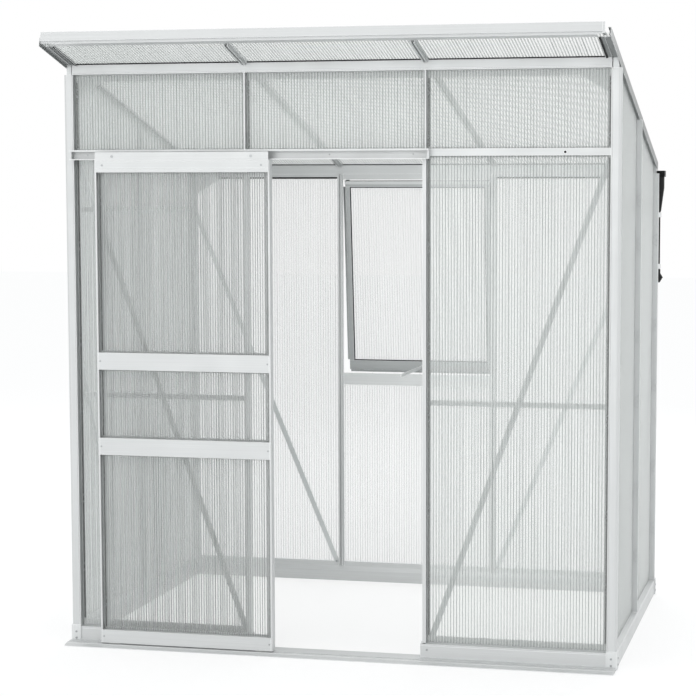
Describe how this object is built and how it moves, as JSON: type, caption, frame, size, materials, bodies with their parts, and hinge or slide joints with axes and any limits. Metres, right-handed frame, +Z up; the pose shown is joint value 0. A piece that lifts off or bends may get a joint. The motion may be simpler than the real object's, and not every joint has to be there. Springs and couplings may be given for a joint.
{
  "type": "pent roof greenhouse with sliding door",
  "caption": "Walk-in pent-roof greenhouse: aluminium bars and twin-wall sheet, sliding front door, awning window, gutter and downpipe.",
  "frame": {"origin": "on the ground under the front threshold, in the middle of the front wall's outer plane", "axes": "+X to the right along the front wall, +Y towards the low back wall, +Z up"},
  "size_m": [1.9616, 1.5974, 2.1247],
  "materials": {
    "aluminium": "mill-finish extrusion, faint lengthwise die lines",
    "sash_aluminium": "extrusion, darker than the frame, satin",
    "brace_aluminium": "rolled strip, satin",
    "cover_aluminium": "die-cast, fine matt grain",
    "polycarbonate": "clear twin-wall sheet with upright flutes",
    "roof_polycarbonate": "clear twin-wall sheet with flutes down the slope",
    "rubber": "extruded strip",
    "foam": "closed-cell strip",
    "spring_steel": "bright spring wire",
    "zinc_steel": "zinc plated",
    "black_plastic": "moulded, fine grain",
    "white_plastic": "moulded",
    "nylon": "moulded nylon"
  },
  "bodies": {
    "frame": {"front_threshold": "aluminium", "base_rail_back": "aluminium", "base_rails_side": "aluminium", "kick_rails": "aluminium", "corner_posts_front": "aluminium", "corner_posts_back": "aluminium", "upper_bars": "aluminium", "door_jambs": "aluminium", "back_bars": "aluminium", "end_bars": "aluminium", "header_rail": "aluminium", "door_track": "aluminium", "eave_beam_front": "aluminium", "eave_beam_back": "aluminium", "front_mid_rails": "aluminium", "end_mid_rails": "aluminium", "roof_rakes": "aluminium", "roof_bars": "aluminium", "roof_fascia": "aluminium", "gutter": "aluminium", "window_header": "aluminium", "window_sill": "aluminium", "front_braces": "brace_aluminium", "back_braces": "brace_aluminium", "end_braces": "brace_aluminium", "corner_gussets": "brace_aluminium", "base_corner_covers": "cover_aluminium", "front_upper_panels": "polycarbonate", "front_panel_left": "polycarbonate", "front_panel_right": "polycarbonate", "back_panels": "polycarbonate", "back_panel_under_window": "polycarbonate", "end_panels": "polycarbonate", "roof_panels": "roof_polycarbonate", "glazing_seals": "rubber", "rake_seals": "rubber", "eave_flute_seals": "foam", "glazing_clips": "spring_steel", "frame_bolts": "zinc_steel", "gutter_fittings": "black_plastic", "downpipe": "black_plastic", "downpipe_clips": "white_plastic"},
    "door": {"door_hanger": "aluminium", "door_stiles": "aluminium", "door_mid_rails": "aluminium", "door_bottom_rail": "aluminium", "door_panes": "polycarbonate", "door_seals": "rubber", "door_guides": "nylon", "door_bolts": "zinc_steel"},
    "roller_left": {"door_roller_left": "nylon"},
    "roller_right": {"door_roller_right": "nylon"},
    "sash": {"sash_top_rail": "sash_aluminium", "sash_bottom_rail": "sash_aluminium", "sash_stiles": "sash_aluminium", "sash_pane": "polycarbonate", "window_pins": "zinc_steel"},
    "stay": {"stay_arm": "brace_aluminium"}
  },
  "joints": [
    {"name": "door_slide", "type": "slide", "parent": "frame", "child": "door", "axis": [1, 0, 0], "range_m": [-0.12, 0.5275]},
    {"name": "roller_left_spin", "type": "hinge", "parent": "door", "child": "roller_left", "pos_m": [-0.7765, -0.025, 1.7123], "axis": [0, 1, 0], "continuous": true},
    {"name": "roller_right_spin", "type": "hinge", "parent": "door", "child": "roller_right", "pos_m": [-0.2785, -0.025, 1.7123], "axis": [0, 1, 0], "continuous": true},
    {"name": "window_hinge", "type": "hinge", "parent": "frame", "child": "sash", "pos_m": [0, 1.292, 1.64], "axis": [1, 0, 0], "range_deg": [-5.4, 19.6]},
    {"name": "stay_pivot", "type": "hinge", "parent": "sash", "child": "stay", "pos_m": [0.01, 1.33963, 0.88111], "axis": [1, 0, 0], "range_deg": [-8, 2.4]}
  ],
  "couplings": [
    {"joint": "roller_left_spin", "follows": "door_slide", "rad_per_m": 125},
    {"joint": "roller_right_spin", "follows": "door_slide", "rad_per_m": 125},
    {"joint": "stay_pivot", "follows": "window_hinge", "ratio": -0.4}
  ]
}
